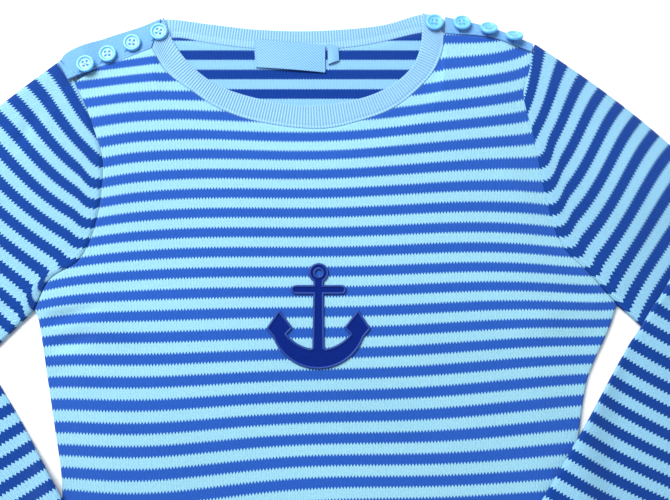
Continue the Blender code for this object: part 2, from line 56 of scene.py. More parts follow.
SKY = (0.90, 0.96, 1.0, 1.0)
SKY_STRENGTH = 0.50
CAMERA_PLACE = (0.0, -84.7, 480.6)
CAMERA_TARGET = (0.0, 0.0, 0.0)
CAMERA_LENS = 38.0


def placed(points):
    """Plan millimetres to metres about the part's origin."""
    return (np.asarray(points, float) - ORIGIN) * MM


def surface(name, grid, knit=None, flip=False, ring=False):
    """Mesh over a grid of points in plan millimetres, a quad between neighbours.

    A ring joins its last column to its first. knit holds the wales and rows counted off at
    each point, with one column more on a ring, and becomes the UV map the stitches follow.
    """
    rows, columns = grid.shape[:2]
    index = np.arange(rows * columns).reshape(rows, columns)
    if ring:
        index = np.column_stack([index, index[:, 0]])

    def corners(values):
        four = [values[:-1, :-1], values[:-1, 1:], values[1:, 1:], values[1:, :-1]]
        four = np.stack(four[::-1] if flip else four, axis=2)
        return four.reshape(-1, *four.shape[2:])

    faces = corners(index)
    points = placed(grid.reshape(-1, 3))
    mesh = bpy.data.meshes.new(name)
    mesh.vertices.add(len(points))
    mesh.vertices.foreach_set("co", points.ravel())
    mesh.loops.add(len(faces) * 4)
    mesh.loops.foreach_set("vertex_index", faces.ravel())
    mesh.polygons.add(len(faces))
    mesh.polygons.foreach_set("loop_start", np.arange(0, len(faces) * 4, 4))
    mesh.update(calc_edges=True)
    if knit is not None:
        mesh.uv_layers.new(name="knit").uv.foreach_set("vector", corners(knit).ravel())
    mesh.shade_smooth()
    item = bpy.data.objects.new(name, mesh)
    bpy.context.scene.collection.objects.link(item)
    return item


def new_finish(name, **constants):
    """New material: itself, its tree and its shader, with numbers set on the shader."""
    material = bpy.data.materials.new(name)
    material.use_nodes = True
    shader = material.node_tree.nodes["Principled BSDF"]
    for socket, value in constants.items():
        shader.inputs[socket.replace("_", " ")].default_value = value
    return material, material.node_tree, shader


def put(tree, kind, sockets=None, **settings):
    """New node of a kind; each socket named or numbered is set to a value or linked."""
    node = tree.nodes.new(kind)
    for name, value in settings.items():
        setattr(node, name, value)
    for name, value in (sockets or {}).items():
        if isinstance(value, bpy.types.NodeSocket):
            tree.links.new(value, node.inputs[name])
        else:
            node.inputs[name].default_value = value
    return node


def maths(tree, operation, *values):
    """Output of a Math node on numbers or sockets."""
    return put(tree, "ShaderNodeMath", dict(enumerate(values)), operation=operation).outputs[0]


def mixed(tree, share, first, second, how="MIX"):
    """Colour between two colours by a share, or their product and the like."""
    node = put(tree, "ShaderNodeMix", {0: share}, data_type="RGBA", blend_type=how)
    for socket, value in ((node.inputs[6], first), (node.inputs[7], second)):
        if isinstance(value, bpy.types.NodeSocket):
            tree.links.new(value, socket)
        else:
            socket.default_value = value
    return node.outputs[2]


def paint(item, *materials):
    """Give an object its materials, in slot order."""
    item.data.materials.clear()
    for material in materials:
        item.data.materials.append(material)
    return item


corner = TABLE_HALF * np.array([-1.0, 1.0])
table_x, table_y = np.meshgrid(corner, corner)
table = surface("table_top", np.stack([table_x, table_y, np.full((2, 2), -TABLE_DROP)], -1))
table_paint, tree, shader = new_finish("table_paint", Roughness=0.6)
place = put(tree, "ShaderNodeTexCoord").outputs["Object"]
cloudy = put(tree, "ShaderNodeTexNoise", {"Vector": place, "Scale": 3.0, "Detail": 2.0})
tone = mixed(tree, cloudy.outputs[0], (0.93, 0.93, 0.93, 1), (0.97, 0.97, 0.97, 1))
tree.links.new(tone, shader.inputs["Base Color"])
paint(table, table_paint)

window = bpy.data.lights.new("window", "AREA")
window.shape = "SQUARE"
window.size = WINDOW_SIZE * MM
window.energy = WINDOW_POWER
lamp = bpy.data.objects.new("window", window)
lamp.location = placed(WINDOW_PLACE)
aim = placed(CAMERA_TARGET) - placed(WINDOW_PLACE)
lamp.rotation_euler = Vector(aim).to_track_quat("-Z", "Y").to_euler()
bpy.context.scene.collection.objects.link(lamp)

sky = bpy.data.worlds.new("sky")
sky.use_nodes = True
sky.node_tree.nodes["Background"].inputs["Color"].default_value = SKY
sky.node_tree.nodes["Background"].inputs["Strength"].default_value = SKY_STRENGTH
bpy.context.scene.world = sky
bpy.context.scene.view_settings.view_transform = "Standard"

lens = bpy.data.cameras.new("camera")
lens.lens = CAMERA_LENS
lens.clip_start = 0.01
camera = bpy.data.objects.new("camera", lens)
camera.location = placed(CAMERA_PLACE)
aim = placed(CAMERA_TARGET) - placed(CAMERA_PLACE)
camera.rotation_euler = Vector(aim).to_track_quat("-Z", "Y").to_euler()
bpy.context.scene.collection.objects.link(camera)
bpy.context.scene.camera = camera

# The back panel
# One flat-knitted cotton panel in two blues, stripes of six rows each, shaped by fashioning
# at the armholes and neck. It lies face down, so its purl side shows through the neck.
CLOTH = 1.4                  # the knit wall
SEAM = 0.05                  # gap between two panels at a seam
EDGE_RADIUS = 1.85           # half height of the folded side edge, outside
MIDDLE = 2.0                 # height of the parting between back and front at the side edge
BODY_WIDTH = 380.0
WALE = 2.1                   # one knitted column
STRIPE_PAIR = 14.2           # a dark and a light stripe
PAIR_ROWS = 12               # knitted rows in that
TOOTH = 1.6                  # rows that a leg of the V climbs
GROOVE_SHADE = 0.60          # brightness left between two stitches
HEM_DEPTH = 20.0             # ribbed hem at the foot of the panel
UNDERARM = 0.62              # row parameter of the underarm
SHOULDER_STOPS = (0.16, 0.74, 1.0)
BACK_COLUMNS = (12, 46, 20)
BACK_ROWS = (60, 50)
BEND_FADE = 6                # power by which the bends of an outline die away inwards
TURN_STEPS = 6               # columns in the quarter round of a side edge
PURL_PHASE = 142.8           # plan height of a dark stripe's middle inside the neck
PURL_PAIR = 14.85

HEM = [(-199, -396), (-10, -396), (179, -396)]
SIDE_LEFT = [HEM[0], (-191, -330), (-181, -260), (-175, -200), (-177, -155),
             (-184, -120), (-191, -88), (-199, -52), (-203, -41)]
SIDE_RIGHT = [HEM[2], (171, -330), (161, -260), (155, -200), (156, -150),
              (161, -117), (165, -98), (170, -82), (184, -55), (191, -38)]
ARMHOLE_LEFT = [(-203, -41), (-194, -21), (-174, -7), (-164, 21), (-162, 60),
                (-170, 86), (-177, 103), (-186, 121)]
ARMHOLE_RIGHT = [(191, -38), (174, -18), (155, 3), (146, 35), (140, 78), (134, 111),
                 (139, 129), (142, 143)]
SHOULDER_LEFT = [(-186, 121), (-169, 132), (-148, 140), (-132, 147)]
SHOULDER_RIGHT = [(79, 158), (105, 156), (119, 153), (142, 143)]
BACK_NECK = [(-132, 147), (-117, 156), (-91, 152), (-61, 148), (-25, 147), (4, 148),
             (30, 152), (63, 160), (79, 158)]

LIGHT_YARN = (0.40, 0.80, 1.0, 1)
DARK_YARN = (0.022, 0.125, 0.60, 1)
# The inside yarns are darker copies of the two yarns: painted shade on the back's inside seen through the neck
LIGHT_YARN_INSIDE_SHADED = (0.29, 0.61, 0.97, 1)
DARK_YARN_INSIDE_SHADED = (0.001, 0.046, 0.32, 1)


def smooth(value):
    """Ease from 0 to 1 while the value goes from 0 to 1."""
    t = np.clip(value, 0.0, 1.0)
    return t * t * (3.0 - 2.0 * t)


def hump(value):
    """Bell of height 1 about 0, near nothing past 2."""
    return np.exp(-np.square(value))


def rounded_line(points, steps=16):
    """Catmull-Rom curve through the points, as a dense line."""
    points = np.asarray(points, float)
    knots = np.vstack([2 * points[0] - points[1], points, 2 * points[-1] - points[-2]])
    t = np.linspace(0, 1, steps, endpoint=False)[:, None]
    a, b, c, d = (knots[k:len(knots) - 3 + k, None] for k in range(4))
    spans = 0.5 * (2 * b + (c - a) * t + (2 * a - 5 * b + 4 * c - d) * t ** 2
                   + (3 * b - a - 3 * c + d) * t ** 3)
    return np.vstack([spans.reshape(-1, 2), points[-1]])


def beside(line, distance):
    """Points of a dense line moved square to it, to the left of its direction."""
    ahead = np.gradient(line, axis=0)
    ahead /= np.linalg.norm(ahead, axis=1)[:, None]
    return line + distance * np.column_stack([-ahead[:, 1], ahead[:, 0]])


def edge(*runs, stops=(1.0,)):
    """Point of an edge at a parameter 0 to 1: by length within a run, each ending at its stop."""
    parameter, line = [], []
    start = 0.0
    for run, stop in zip(runs, stops):
        dense = rounded_line(run) if len(run) < 40 else np.asarray(run, float)
        reach = np.append(0, np.cumsum(np.linalg.norm(np.diff(dense, axis=0), axis=1)))
        parameter.append(start + (stop - start) * reach / reach[-1])
        line.append(dense)
        start = stop
    parameter = np.concatenate(parameter)
    line = np.vstack(line)
    return lambda f: np.stack([np.interp(f, parameter, line[:, k]) for k in (0, 1)], -1)


def body_plan(neck, u, v):
    """Straight loft from hem to top plus each side's bend off its chord, dying away inwards."""
    bottom = edge(HEM)
    top = edge(SHOULDER_LEFT, neck, SHOULDER_RIGHT, stops=SHOULDER_STOPS)
    left = edge(SIDE_LEFT, ARMHOLE_LEFT, stops=(UNDERARM, 1.0))
    right = edge(SIDE_RIGHT, ARMHOLE_RIGHT, stops=(UNDERARM, 1.0))
    across, along = u[..., None], v[..., None]
    bend_left = left(v) - (1 - along) * bottom(0.0) - along * top(0.0)
    bend_right = right(v) - (1 - along) * bottom(1.0) - along * top(1.0)
    return ((1 - along) * bottom(u) + along * top(u)
            + (1 - across) ** BEND_FADE * bend_left + across ** BEND_FADE * bend_right)


def body_grid(columns, rows):
    """Panel parameters u, v and the turn of each column round the side edge."""
    turn = np.radians(np.linspace(0, 90, TURN_STEPS))
    roll = EDGE_RADIUS * (1 - np.cos(turn)) / BODY_WIDTH
    stops = [roll[-1], *SHOULDER_STOPS[:2], 1 - roll[-1]]
    middle = np.concatenate([np.linspace(a, b, n + 1)[:-1]
                             for a, b, n in zip(stops, stops[1:], columns)])[1:]
    u = np.concatenate([roll, middle, 1 - roll[::-1]])
    angle = np.concatenate([turn, np.full(len(middle), np.pi / 2), turn[::-1]])
    v = np.concatenate([np.linspace(0, UNDERARM, rows[0])[:-1],
                        np.linspace(UNDERARM, 1, rows[1])])
    return (*np.meshgrid(u, v), np.meshgrid(angle, v)[0])


def panel_points(plan, v, angle, way, puff):
    """Outer face: EDGE_RADIUS off the parting line, turned a quarter round where it closes."""
    closed = 1 - smooth((v - UNDERARM) * 12)
    rise = 1 - closed * (1 - np.sin(angle))
    height = MIDDLE + way * (0.15 + EDGE_RADIUS * rise) + puff
    return np.concatenate([plan, height[..., None]], axis=-1)


def thicken(item, thickness, inner=1):
    """Solidify inwards; the inner side takes the material that many slots on."""
    wall = item.modifiers.new("wall", "SOLIDIFY")
    wall.thickness = thickness * MM
    wall.offset = -1.0
    wall.material_offset = inner


def new_group(name, inputs, outputs):
    """Node group with named inputs and outputs: the tree, what comes in, what goes out."""
    tree = bpy.data.node_groups.new(name, "ShaderNodeTree")
    for way, sockets in (("INPUT", inputs), ("OUTPUT", outputs)):
        for socket, kind in sockets.items():
            tree.interface.new_socket(name=socket, in_out=way, socket_type="NodeSocket" + kind)
    return tree, tree.nodes.new("NodeGroupInput").outputs, tree.nodes.new("NodeGroupOutput").inputs


def stitch_group(name, purl):
    """Knit texture from counted wales and rows.

    Face side: a row's line rises from the wale's middle to its sides, which draws a V; the
    height is the sine across the row times the sine across each leg. Purl side: every other
    half wale is half a row up, and each half holds one bump. A stitch is dark when its row,
    counted in twelves, is one of the six about the stripe's middle.
    """
    tree, given, made = new_group(name, {"Count": "Vector"}, {"Height": "Float", "Dark": "Float"})
    split = put(tree, "ShaderNodeSeparateXYZ", {0: given["Count"]})
    wale, row = split.outputs[0], split.outputs[1]
    across = maths(tree, "FRACT", wale)
    if purl:
        half = maths(tree, "GREATER_THAN", across, 0.5)
        course = maths(tree, "MULTIPLY_ADD", half, 0.5, maths(tree, "SUBTRACT", row, 0.25))
        leg = maths(tree, "FRACT", maths(tree, "MULTIPLY", wale, 2.0))
    else:
        away = maths(tree, "ABSOLUTE", maths(tree, "SUBTRACT", across, 0.5))
        leg = maths(tree, "MULTIPLY", away, 2.0)
        course = maths(tree, "MULTIPLY_ADD", leg, -TOOTH, maths(tree, "ADD", row, TOOTH / 2))
    bow = maths(tree, "SINE", maths(tree, "MULTIPLY", maths(tree, "FRACT", course), math.pi))
    side = maths(tree, "SINE", maths(tree, "MULTIPLY", leg, math.pi))
    height = maths(tree, "MULTIPLY", maths(tree, "POWER", bow, 0.6),
                   maths(tree, "POWER", side, 0.5))
    tree.links.new(height, made["Height"])
    counted = maths(tree, "FLOORED_MODULO", maths(tree, "ADD", maths(tree, "FLOOR", course),
                                                  PAIR_ROWS / 4), PAIR_ROWS)
    tree.links.new(maths(tree, "LESS_THAN", counted, PAIR_ROWS / 2), made["Dark"])
    return tree


def rib_group():
    """One-and-one rib: a rounded rib about each counted wale and a groove between two."""
    tree, given, made = new_group("rib", {"Count": "Vector"}, {"Height": "Float", "Dark": "Float"})
    split = put(tree, "ShaderNodeSeparateXYZ", {0: given["Count"]})
    rib = maths(tree, "ABSOLUTE", maths(tree, "COSINE", maths(tree, "MULTIPLY", split.outputs[0],
                                                              math.pi)))
    bow = maths(tree, "SINE", maths(tree, "MULTIPLY", maths(tree, "FRACT", split.outputs[1]),
                                    math.pi))
    stitch = maths(tree, "MULTIPLY_ADD", bow, 0.25, 0.75)
    tree.links.new(maths(tree, "MULTIPLY", maths(tree, "POWER", rib, 0.8), stitch), made["Height"])
    made["Dark"].default_value = 0.0
    return tree


def yarn_group():
    """Yarn colour: two blues by the mask, a soft broad fade, flecks, and painted shade in the grooves."""
    tree, given, made = new_group(
        "yarn_colour_and_groove_shade", {"Place": "Vector", "Count": "Vector", "Height": "Float", "Dark": "Float",
                        "Light yarn": "Color", "Dark yarn": "Color"}, {"Colour": "Color"})
    colour = mixed(tree, given["Dark"], given["Light yarn"], given["Dark yarn"])
    broad = put(tree, "ShaderNodeTexNoise", {"Vector": given["Place"], "Scale": 9.0,
                                             "Detail": 2.0}).outputs[0]
    fleck = put(tree, "ShaderNodeTexNoise", {"Vector": given["Count"], "Scale": 1.3,
                                             "Detail": 1.0}).outputs[0]
    shade = maths(tree, "MULTIPLY_ADD", broad, 0.16, 0.94)
    shade = maths(tree, "MULTIPLY", shade, maths(tree, "MULTIPLY_ADD", fleck, 0.4, 0.82))
    # Painted shade: the grooves between stitches are darkened in the colour
    groove = maths(tree, "MULTIPLY_ADD", given["Height"], 1 - GROOVE_SHADE, GROOVE_SHADE)
    shade = maths(tree, "MULTIPLY", shade, groove)
    grey = put(tree, "ShaderNodeCombineColor", {0: shade, 1: shade, 2: shade}).outputs[0]
    tree.links.new(mixed(tree, 1.0, colour, grey, "MULTIPLY"), made["Colour"])
    return tree


stockinette = stitch_group("stockinette", False)
purl = stitch_group("purl", True)
rib_stitch = rib_group()
yarn_colour_and_groove_shade = yarn_group()


def knit_finish(name, stitch, light, dark, relief=0.5, plain=False):
    """Knitted cotton in two yarns: stitch group for relief and stripes, yarn group for colour and the painted shade in
    the grooves.
    """
    material, tree, shader = new_finish(name, Roughness=0.85, Sheen_Weight=0.06,
                                        Sheen_Roughness=0.5, Specular_IOR_Level=0.14)
    count = put(tree, "ShaderNodeUVMap", uv_map="knit").outputs[0]
    place = put(tree, "ShaderNodeTexCoord").outputs["Object"]
    knit = put(tree, "ShaderNodeGroup", node_tree=stitch)
    tree.links.new(count, knit.inputs["Count"])
    yarn = put(tree, "ShaderNodeGroup", node_tree=yarn_colour_and_groove_shade)
    for socket, value in (("Place", place), ("Count", count), ("Height", knit.outputs["Height"])):
        tree.links.new(value, yarn.inputs[socket])
    if plain:
        yarn.inputs["Dark"].default_value = 0.0
    else:
        tree.links.new(knit.outputs["Dark"], yarn.inputs["Dark"])
    yarn.inputs["Light yarn"].default_value = light
    yarn.inputs["Dark yarn"].default_value = dark
    bump = put(tree, "ShaderNodeBump", {"Height": knit.outputs["Height"], "Distance": relief * MM,
                                        "Strength": 0.8})
    tree.links.new(yarn.outputs["Colour"], shader.inputs["Base Color"])
    tree.links.new(bump.outputs[0], shader.inputs["Normal"])
    return material


striped_face = knit_finish("striped_face", stockinette, LIGHT_YARN, DARK_YARN)
# Painted shade: the purl inside takes the darker copies of the yarns
shaded_striped_inside = knit_finish("shaded_striped_inside", purl, LIGHT_YARN_INSIDE_SHADED, DARK_YARN_INSIDE_SHADED)
welt_rib = knit_finish("welt_rib", rib_stitch, LIGHT_YARN, DARK_YARN, plain=True)


def body_piece(name, plan, points, rows, flip):
    """A body panel: striped outside, purl inside, and a plain ribbed welt along the hem."""
    knit = np.stack([plan[..., 0] / WALE, rows], -1)
    panel = surface(name, points, knit, flip=flip)
    paint(panel, striped_face, shaded_striped_inside, welt_rib, welt_rib)
    foot = (plan[:-1, :-1, 1] < HEM[0][1] + HEM_DEPTH).ravel()
    panel.data.polygons.foreach_set("material_index", np.where(foot, 2, 0).astype(np.int32))
    thicken(panel, CLOTH)
    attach(panel, "root")
    return panel


u, v, angle = body_grid(BACK_COLUMNS, BACK_ROWS)
back_plan = body_plan(BACK_NECK, u, v)
back_points = panel_points(back_plan, v, angle, -1, 0.0)
back_rows = (back_plan[..., 1] - PURL_PHASE) / PURL_PAIR * PAIR_ROWS
back = body_piece("back_panel", back_plan, back_points, back_rows, True)
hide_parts("body_back")

# The front panel
# The same knit as the back with a deeper neck, a few soft creases pressed in by the folding,
# and drawn down where it is linked to the neckband and the sleeves.
FRONT_NECK = [(-132, 147), (-121, 129), (-103, 115), (-82, 101), (-53, 91), (-12, 86),
              (18, 92), (44, 103), (67, 124), (77, 143), (79, 158)]
PUFF = 2.3                   # how far the front stands off the back in its middle
FRONT_COLUMNS = (28, 102, 46)
FRONT_ROWS = (130, 95)
SEAM_DIP = 0.35              # how deep the cloth is drawn down at a linked seam
SEAM_REACH = 2.2
# Stripe number of the front by powers of x (rows) and y (columns), in decimetres
FRONT_COURSE = ((-8.83, 7.316, -0.056, -0.071, 0.071, 0.027, -0.078, -0.038),
                (-0.124, -0.113, -0.333, 0.09, 0.295, -0.024, -0.075),
                (-0.266, -0.253, -0.19, -0.22, 0.197, 0.135),
                (-0.082, 0.202, -0.078, -0.046, 0.015), (0.215, 0.255, -0.109, -0.051),
                (0.079, -0.072, -0.015), (-0.031, -0.047), (-0.018,))
FRONT_WIDE = (-201, 188)     # where the table holds
FRONT_TALL = (-163, 150)
# Soft creases: from, to, height, half width
FRONT_CREASES = [((-190, -40), (-128, -62), 1.6, 9), ((-186, -70), (-150, -98), 1.2, 8),
                 ((140, 20), (112, 62), 1.4, 8), ((-160, -30), (-120, -20), -0.5, 7),
                 ((-196, -50), (-156, -40), -3.0, 4.5), ((-194, -67), (-160, -60), -2.6, 4.5),
                 ((-190, -84), (-170, -80), -0.9, 4), ((182, -31), (140, -29), -1.4, 3.5),
                 ((178, -62), (140, -58), -0.8, 4), ((150, -40), (112, -66), 0.9, 10), ((-90, 60), (-40, 20), 0.35, 16),
                 ((40, 60), (10, 10), 0.3, 16), ((-60, -60), (60, -110), 0.35, 22)]


def creased(place, table):
    """Sum of soft ridges: each a bell across its line, fading from one end to the other."""
    rise = np.zeros(place.shape[:-1])
    for start, end, height, half_width in table:
        run = np.subtract(end, start).astype(float)
        along = np.clip(((place - start) @ run) / (run @ run), 0, 1)
        away = np.linalg.norm(place - start - along[..., None] * run, axis=-1)
        rise += height * np.sin(np.pi * (0.15 + 0.85 * along)).clip(0) * hump(away / half_width)
    return rise


def armhole_rise(share):
    """Puff kept at the armhole seam, nothing at its two ends."""
    return 0.5 * PUFF * np.sqrt(np.clip(np.sin(np.pi * np.clip(share, 0, 1)), 0, 1))


def front_puff(plan, u, v):
    """Full in the middle and down to the edges, with the creases and the seams drawn in."""
    side = np.minimum(u, 1 - u) * BODY_WIDTH
    open_side = smooth((v - UNDERARM) * 40)
    kept = armhole_rise((v - UNDERARM) / (1 - UNDERARM))
    rise = kept + (PUFF - kept) * smooth(side / 45)
    rise = rise * smooth((1 - v) * 16) * (0.45 + 0.55 * smooth(v * 12))
    dip = SEAM_DIP * open_side * hump(side / SEAM_REACH)
    return rise + creased(plan, FRONT_CREASES) * smooth(side / 12) - dip


def course_at(table, x, y):
    """Stripe number from a table of polynomial terms: rows by power of x, columns of y."""
    return sum(x ** k * np.polynomial.polynomial.polyval(y, row) for k, row in enumerate(table))


def body_rows(plan):
    """Rows counted down the front: the course table in decimetres, straight on past its edge."""
    x = np.clip(plan[..., 0], *FRONT_WIDE) / 100
    y = np.clip(plan[..., 1], *FRONT_TALL)
    course = course_at(FRONT_COURSE, x, y / 100)
    return (course + (plan[..., 1] - y) / STRIPE_PAIR) * PAIR_ROWS


u, v, angle = body_grid(FRONT_COLUMNS, FRONT_ROWS)
front_plan = body_plan(FRONT_NECK, u, v)
front_points = panel_points(front_plan, v, angle, 1, front_puff(front_plan, u, v))
front = body_piece("front_panel", front_plan, front_points, body_rows(front_plan), False)
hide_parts("body_front")

# The sleeves
# Set-in sleeves knitted in the round of the same cotton and linked into the armholes. Each is
# folded at the elbow, and its forearm lies back over the upper arm and the front.
STACK = 2 * EDGE_RADIUS + 0.45     # from the table to the middle of the folded-over stack
HALF_SLEEVE = EDGE_RADIUS + 0.15
FOREARM = 425.0                    # overarm edge from the fold to the cuff
OVERARM_BOW = 4.5                  # the overarm edge stands out half way to the elbow
CUFF_WIDTH = 78.0
CUFF_DEPTH = 22.0
# The sleeve yarns are darker copies of the body's yarns: painted shade
SLEEVE_LIGHT_SHADED = (0.345, 0.71, 0.98, 1)
SLEEVE_DARK_SHADED = (0.002, 0.060, 0.36, 1)
MEET_REACH = 17.0                  # how far off the seam the stripes turn into the front's
BLEND = 0.22                       # run before the fold where the two courses join
ARM_COUNTS = (46, 46, 7)           # columns on top, underneath and round each edge
ARM_RINGS = (72, 16, 72)           # rings on the upper arm, the fold and the forearm
# Shoulder tip, direction of the upper arm, the fold's point on the overarm edge and its
# direction; stripe numbers above and below the elbow by powers of the distance along (rows) and
# across (columns) from the fold's point, in decimetres; and the creases of upper arm and forearm
SLEEVES = {
    "left": {"tip": (-195, 141), "upper": (-0.69, -0.73), "fold": (-304, 35),
             "crease": (-0.077, -0.997), "armhole": ARMHOLE_LEFT, "side": SIDE_LEFT,
             "meets": -6,
             "upper_course": ((5.945, 0.242, -0.406, 0.716, 0.426, -0.489),
                              (7.049, 0.014, 0.807, -0.371, -0.059),
                              (0.343, 0.127, -1.548, 1.812), (-0.059, -0.514, 0.438),
                              (-0.117, -0.38), (-0.102,)),
             "lower_course": ((5.973, 0.43), (6.992,)),
             "creases": [((-203, 128), (-226, 66), -2.9, 5), ((-192, 116), (-206, 84), 1.0, 5),
                         ((-214, 118), (-236, 76), 0.9, 5), ((-206, -34), (-222, -14), 1.6, 3.2),
                         ((-212, -41), (-232, -26), 1.7, 3), ((-217, -52), (-238, -42), 1.7, 3)],
             "folds": [((-226, -96), (-214, -70), 0.7, 5)]},
    "right": {"tip": (145, 151), "upper": (0.73, -0.68), "fold": (264, 46),
              "crease": (0.119, -0.993), "armhole": ARMHOLE_RIGHT, "side": SIDE_RIGHT,
              "meets": -5,
              "upper_course": ((7.063, 0.936, -2.725, 0.945, 1.308, -0.976),
                              (5.234, 2.423, 1.038, -1.439, -0.541),
                              (-0.727, 1.122, -0.97, 1.555), (0.968, -1.349, 0.234),
                              (1.072, -1.194), (0.188,)),
             "lower_course": ((6.786, -0.196, 0.713), (6.895, 0.213), (0.051,)),
              "creases": [((192, -33), (200, -14), 1.5, 3), ((199, -38), (213, -22), 1.7, 3),
                         ((206, -46), (224, -34), 1.7, 3), ((163, 142), (157, 100), 0.8, 5)],
              "folds": []},
}


def flat_ring(top, under, turn):
    """Once round a flattened tube: share across, and the cosine and sine of the side's turn."""
    round_edge = np.linspace(np.pi / 2, -np.pi / 2, turn + 2)[1:-1]
    share = np.concatenate([np.linspace(0, 1, top), np.ones(turn), np.linspace(1, 0, under),
                            np.zeros(turn)])
    angle = np.concatenate([np.full(top, np.pi / 2), round_edge, np.full(under, -np.pi / 2),
                            round_edge[::-1]])
    return share, np.cos(angle), np.sin(angle)


def sleeve_keys(data, hand):
    """Four section lines of the sleeve laid straight: armhole, fold, fold's end and cuff."""
    upper = np.array(data["upper"]) / np.hypot(*data["upper"])
    crease = np.array(data["crease"]) / np.hypot(*data["crease"])
    across = hand * np.array([-upper[1], upper[0]])
    past = -hand * np.array([-crease[1], crease[0]])
    tip, fold = np.array(data["tip"], float), np.array(data["fold"], float)
    arm = beside(edge(data["armhole"])(np.linspace(0, 1, 60)), SEAM * hand)[::-1]
    steps = np.linalg.solve(np.column_stack([upper, -crease]), fold - arm[-1])
    meet = arm[-1] + upper * steps[0]
    bend = math.pi * STACK / 2
    onward = upper * bend / float(upper @ past)
    cuff = fold + upper * FOREARM
    width = (arm[-1] - tip) @ across
    inset = HALF_SLEEVE / width
    head = np.vstack([tip, arm, arm[-1]])
    knots = np.concatenate([[0], inset + (1 - 2 * inset) * np.linspace(0, 1, len(arm)), [1]])
    keys = [lambda w: np.stack([np.interp(w, knots, head[:, k]) for k in (0, 1)], -1),
            edge([fold, meet]), edge([fold + onward, meet + onward]),
            edge([cuff, cuff + across * CUFF_WIDTH])]
    return {"keys": keys, "upper": upper, "crease": crease, "across": across, "past": past,
            "fold": fold, "bend": bend, "underarm": arm[-1], "tip": tip, "hand": hand,
            "side": rounded_line(data["side"])}


def straight_plan(arm, w, s):
    """Plan of the straight sleeve: w across from the overarm edge, s from key to key."""
    lines = np.stack([key(w) for key in arm["keys"]])
    first = np.clip(np.floor(s).astype(int), 0, 2)
    share = (s - first)[..., None]
    take = first[None, ..., None]
    low = np.take_along_axis(lines, take, 0)[0]
    high = np.take_along_axis(lines, take + 1, 0)[0]
    bow = OVERARM_BOW * np.sin(np.pi * np.clip(s, 0, 1)) * (1 - np.clip(w, 0, 1))
    # The bend of the armhole at the underarm dies away sooner than the rest of its line
    sooner = (1 - share) ** BEND_FADE - (1 - share)
    sideways = ((low - high) @ arm["across"])[..., None] * sooner * (s < 1)[..., None] \
        * smooth(w * 3)[..., None] - bow[..., None]
    return low * (1 - share) + high * share + sideways * arm["across"]


def lie_of_forearm(arm, position):
    """Height the forearm rests at: over the upper arm, across the table, then on the front."""
    below = (position - arm["underarm"]) @ arm["across"]
    line = arm["side"]
    outside = -arm["hand"] * (position[..., 0] - np.interp(position[..., 1], line[:, 1],
                                                           line[:, 0]))
    outside = np.where(position[..., 1] > line[-1, 1], 0, outside)
    on_arm = (STACK + 0.15) * (1 - smooth(below / 22))
    on_front = (2 * HALF_SLEEVE + PUFF + 0.45) * (1 - smooth(outside / 26))
    return np.maximum(np.maximum(on_arm, on_front) - 0.15, -0.15)


def folded(arm, plan, height):
    """The sleeve bent over its fold: a half turn about the stack's middle, then laid back."""
    offset = plan - arm["fold"]
    past = offset @ arm["past"]
    along = offset @ arm["crease"]
    theta = np.pi * np.clip(past / arm["bend"], 0, 1)
    radius = STACK - 0.3 - height
    out = radius * np.sin(theta) + np.minimum(past, 0) - np.maximum(past - arm["bend"], 0)
    position = arm["fold"] + along[..., None] * arm["crease"] + out[..., None] * arm["past"]
    level = np.where(theta >= np.pi, lie_of_forearm(arm, position) + radius,
                     STACK - 0.3 - radius * np.cos(theta))
    return np.concatenate([position, np.where(past <= 0, height, level)[..., None]], -1)


def clear_of_forearm(arm, plan):
    """Nothing where the forearm lies on the upper sleeve, full where it is clear of it."""
    crease = arm["crease"]
    forearm = 2 * (arm["upper"] @ crease) * crease - arm["upper"]
    sideways = np.array([-forearm[1], forearm[0]])
    sideways *= np.sign((arm["tip"] - arm["fold"]) @ sideways)
    return smooth(((plan - arm["fold"]) @ sideways - 6) / 30)


# Painted shade: the sleeves take the darker copies of the yarns
shaded_sleeve_face = knit_finish("shaded_sleeve_face", stockinette, SLEEVE_LIGHT_SHADED, SLEEVE_DARK_SHADED)


